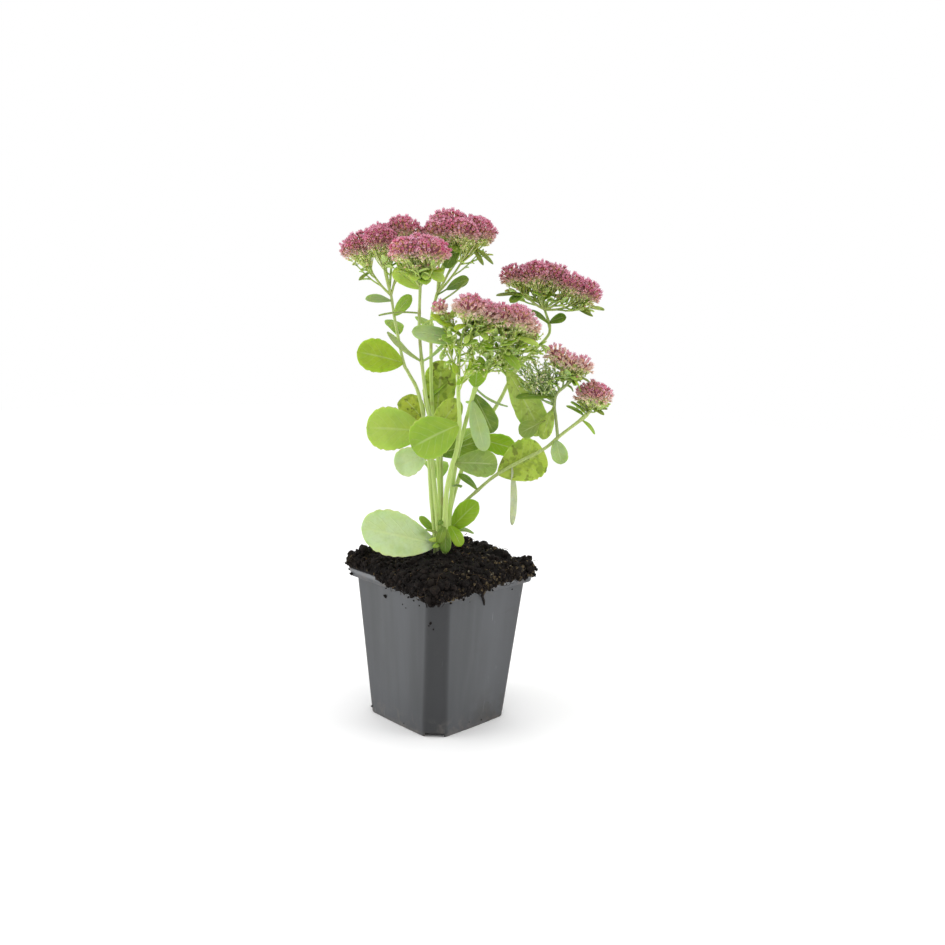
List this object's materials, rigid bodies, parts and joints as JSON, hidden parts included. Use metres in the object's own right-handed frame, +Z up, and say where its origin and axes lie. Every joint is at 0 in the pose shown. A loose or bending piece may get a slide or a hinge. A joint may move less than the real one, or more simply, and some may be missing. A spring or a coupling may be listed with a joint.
{
  "type": "potted garden perennial",
  "caption": "Fleshy-leaved perennial in a square nursery pot: upright stems rise from heaped compost and carry flat clusters of small pink flowers.",
  "frame": {"origin": "on the ground under the middle of the pot", "axes": "+Z up along the stems; X and Y parallel to the pot's sides, with the overhanging low stem leaning towards +X -Y and the crumbly pot corner at -X -Y"},
  "size_m": [0.1424, 0.1318, 0.3215],
  "materials": {
    "pot_plastic": "satin dark grey, dusty with compost",
    "peat_soil": "rough crumbly black-brown compost",
    "foliage": "waxy fresh green",
    "blossom": "matt dusky pink"
  },
  "bodies": {
    "root": {"pot": "pot_plastic", "soil": "peat_soil", "stem_left": "foliage", "stem_front_left": "foliage", "stem_top": "foliage", "stem_front": "foliage", "stem_right": "foliage", "stem_low_right": "foliage", "stem_back_right": "foliage", "head_left": "blossom", "head_front_left": "blossom", "head_top": "blossom", "head_front": "blossom", "head_front_side": "blossom", "head_back_right": "blossom", "head_side_right": "blossom", "head_low_right": "blossom"}
  },
  "joints": []
}
